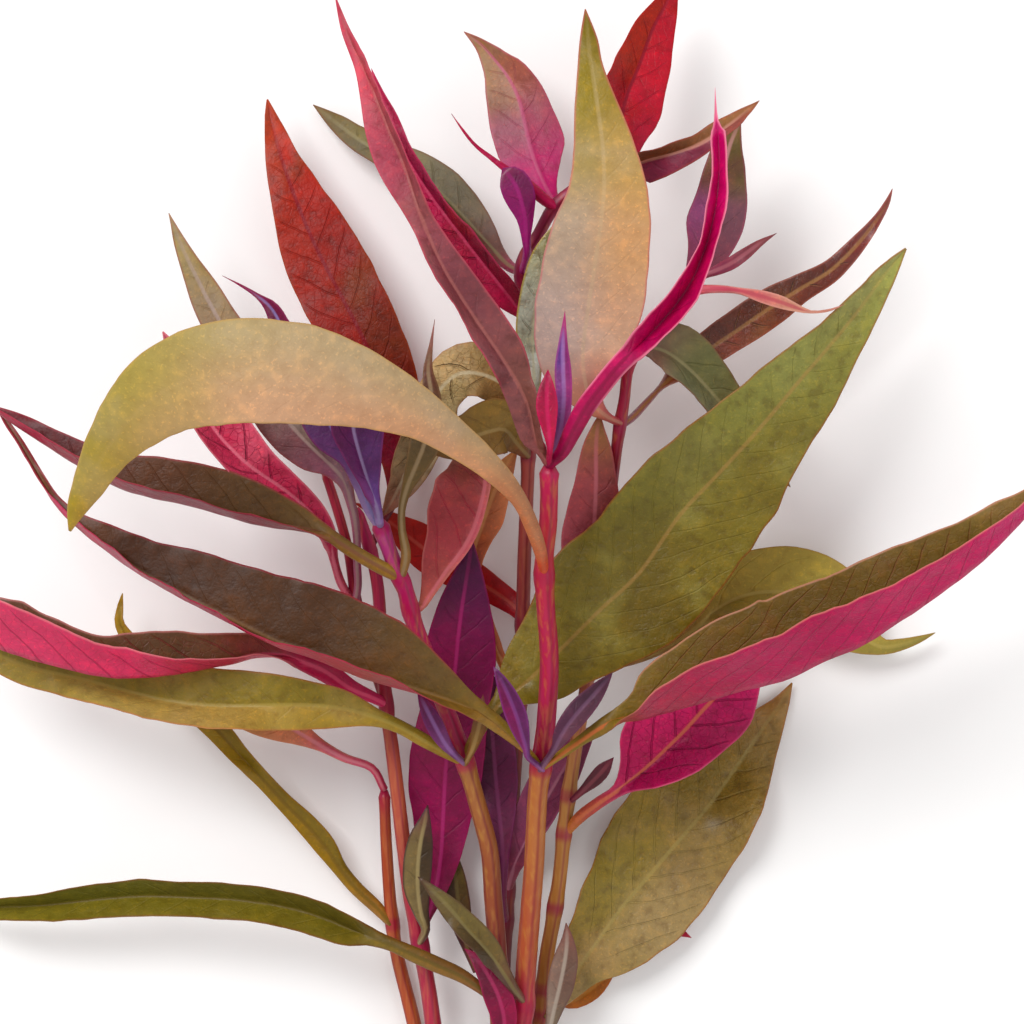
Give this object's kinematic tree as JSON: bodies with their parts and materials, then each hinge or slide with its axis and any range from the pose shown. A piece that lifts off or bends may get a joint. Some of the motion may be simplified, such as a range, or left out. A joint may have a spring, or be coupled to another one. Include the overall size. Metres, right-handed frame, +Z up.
{
  "type": "cut aquatic plant clump",
  "caption": "Clump of Alternanthera reineckii cut at its foot and lying on its back, with branching pink stems and long folded, arched and twisted leaves in olive, magenta and tan.",
  "frame": {"origin": "on the surface the clump lies on, under the middle of its bounding box", "axes": "+Y from the cut foot to the tips, +X to the right seen from above, +Z up from the surface"},
  "size_m": [0.1589, 0.1906, 0.0632],
  "materials": {
    "foot": "fibrous, dull",
    "front_stem": "smooth, faintly ribbed",
    "second_stem": "smooth, faintly ribbed",
    "left_stem": "smooth, faintly ribbed",
    "short_left_stem": "smooth, faintly ribbed",
    "left_fork_stem": "smooth, faintly ribbed",
    "right_stem": "smooth, faintly ribbed",
    "back_stem": "smooth, faintly ribbed",
    "long_dark_leaf": "soft satin leaf",
    "folded_right_leaf": "soft satin leaf",
    "left_axil_bud": "soft satin leaf",
    "right_axil_bud": "soft satin leaf",
    "arching_leaf": "soft satin leaf",
    "mauve_leaf": "soft satin leaf",
    "pink_channel_leaf": "soft satin leaf",
    "crimson_tip_leaf": "soft satin leaf",
    "purple_tip_leaf": "soft satin leaf",
    "left_olive_leaf": "soft satin leaf",
    "big_right_leaf": "soft satin leaf",
    "twisted_left_leaf": "soft satin leaf",
    "dark_small_leaf": "soft satin leaf",
    "veined_back_leaf": "soft satin leaf",
    "violet_left_leaf": "soft satin leaf",
    "violet_right_leaf": "soft satin leaf",
    "lower_left_leaf": "soft satin leaf",
    "crimson_low_leaf": "soft satin leaf",
    "pink_twisted_leaf": "soft satin leaf",
    "pink_veined_leaf": "soft satin leaf",
    "long_grey_leaf": "soft satin leaf",
    "red_orange_leaf": "soft satin leaf",
    "ochre_narrow_leaf": "soft satin leaf",
    "stalked_pink_leaf": "soft satin leaf",
    "deep_magenta_leaf": "soft satin leaf",
    "small_striped_leaf": "soft satin leaf",
    "tan_top_leaf": "soft satin leaf",
    "glossy_brown_leaf": "soft satin leaf",
    "grey_olive_leaf": "soft satin leaf",
    "reddish_brown_leaf": "soft satin leaf",
    "brown_mauve_leaf": "soft satin leaf",
    "small_brown_leaf": "soft satin leaf",
    "thin_salmon_leaf": "soft satin leaf",
    "pink_ribbed_leaf": "soft satin leaf",
    "ochre_back_leaf": "soft satin leaf",
    "large_lower_leaf": "soft satin leaf",
    "grey_bud_leaf": "soft satin leaf",
    "wet_olive_leaf": "soft satin leaf",
    "red_top_leaf": "soft satin leaf",
    "narrow_brown_leaf": "soft satin leaf",
    "pink_top_leaf": "soft satin leaf",
    "thin_crimson_leaf": "soft satin leaf",
    "spoon_leaf": "soft satin leaf",
    "grey_olive_top_leaf": "soft satin leaf",
    "crimson_folded_leaf": "soft satin leaf",
    "tan_crinkled_leaf": "soft satin leaf",
    "brown_shaded_leaf": "soft satin leaf",
    "orange_leaf": "soft satin leaf",
    "coral_back_leaf": "soft satin leaf",
    "mauve_low_leaf": "soft satin leaf",
    "dark_purple_leaf": "soft satin leaf",
    "small_olive_leaf": "soft satin leaf"
  },
  "bodies": {
    "root": {"foot": "foot", "front_stem": "front_stem", "second_stem": "second_stem", "left_stem": "left_stem", "short_left_stem": "short_left_stem", "left_fork_stem": "left_fork_stem", "right_stem": "right_stem", "back_stem": "back_stem", "long_dark_leaf": "long_dark_leaf", "folded_right_leaf": "folded_right_leaf", "left_axil_bud": "left_axil_bud", "right_axil_bud": "right_axil_bud", "arching_leaf": "arching_leaf", "mauve_leaf": "mauve_leaf", "pink_channel_leaf": "pink_channel_leaf", "crimson_tip_leaf": "crimson_tip_leaf", "purple_tip_leaf": "purple_tip_leaf", "left_olive_leaf": "left_olive_leaf", "big_right_leaf": "big_right_leaf", "twisted_left_leaf": "twisted_left_leaf", "dark_small_leaf": "dark_small_leaf", "veined_back_leaf": "veined_back_leaf", "violet_left_leaf": "violet_left_leaf", "violet_right_leaf": "violet_right_leaf", "lower_left_leaf": "lower_left_leaf", "crimson_low_leaf": "crimson_low_leaf", "pink_twisted_leaf": "pink_twisted_leaf", "pink_veined_leaf": "pink_veined_leaf", "long_grey_leaf": "long_grey_leaf", "red_orange_leaf": "red_orange_leaf", "ochre_narrow_leaf": "ochre_narrow_leaf", "stalked_pink_leaf": "stalked_pink_leaf", "deep_magenta_leaf": "deep_magenta_leaf", "small_striped_leaf": "small_striped_leaf", "tan_top_leaf": "tan_top_leaf", "glossy_brown_leaf": "glossy_brown_leaf", "grey_olive_leaf": "grey_olive_leaf", "reddish_brown_leaf": "reddish_brown_leaf", "brown_mauve_leaf": "brown_mauve_leaf", "small_brown_leaf": "small_brown_leaf", "thin_salmon_leaf": "thin_salmon_leaf", "pink_ribbed_leaf": "pink_ribbed_leaf", "ochre_back_leaf": "ochre_back_leaf", "large_lower_leaf": "large_lower_leaf", "grey_bud_leaf": "grey_bud_leaf", "wet_olive_leaf": "wet_olive_leaf", "red_top_leaf": "red_top_leaf", "narrow_brown_leaf": "narrow_brown_leaf", "pink_top_leaf": "pink_top_leaf", "thin_crimson_leaf": "thin_crimson_leaf", "spoon_leaf": "spoon_leaf", "grey_olive_top_leaf": "grey_olive_top_leaf", "crimson_folded_leaf": "crimson_folded_leaf", "tan_crinkled_leaf": "tan_crinkled_leaf", "brown_shaded_leaf": "brown_shaded_leaf", "orange_leaf": "orange_leaf", "coral_back_leaf": "coral_back_leaf", "mauve_low_leaf": "mauve_low_leaf", "dark_purple_leaf": "dark_purple_leaf", "small_olive_leaf": "small_olive_leaf"}
  },
  "joints": []
}
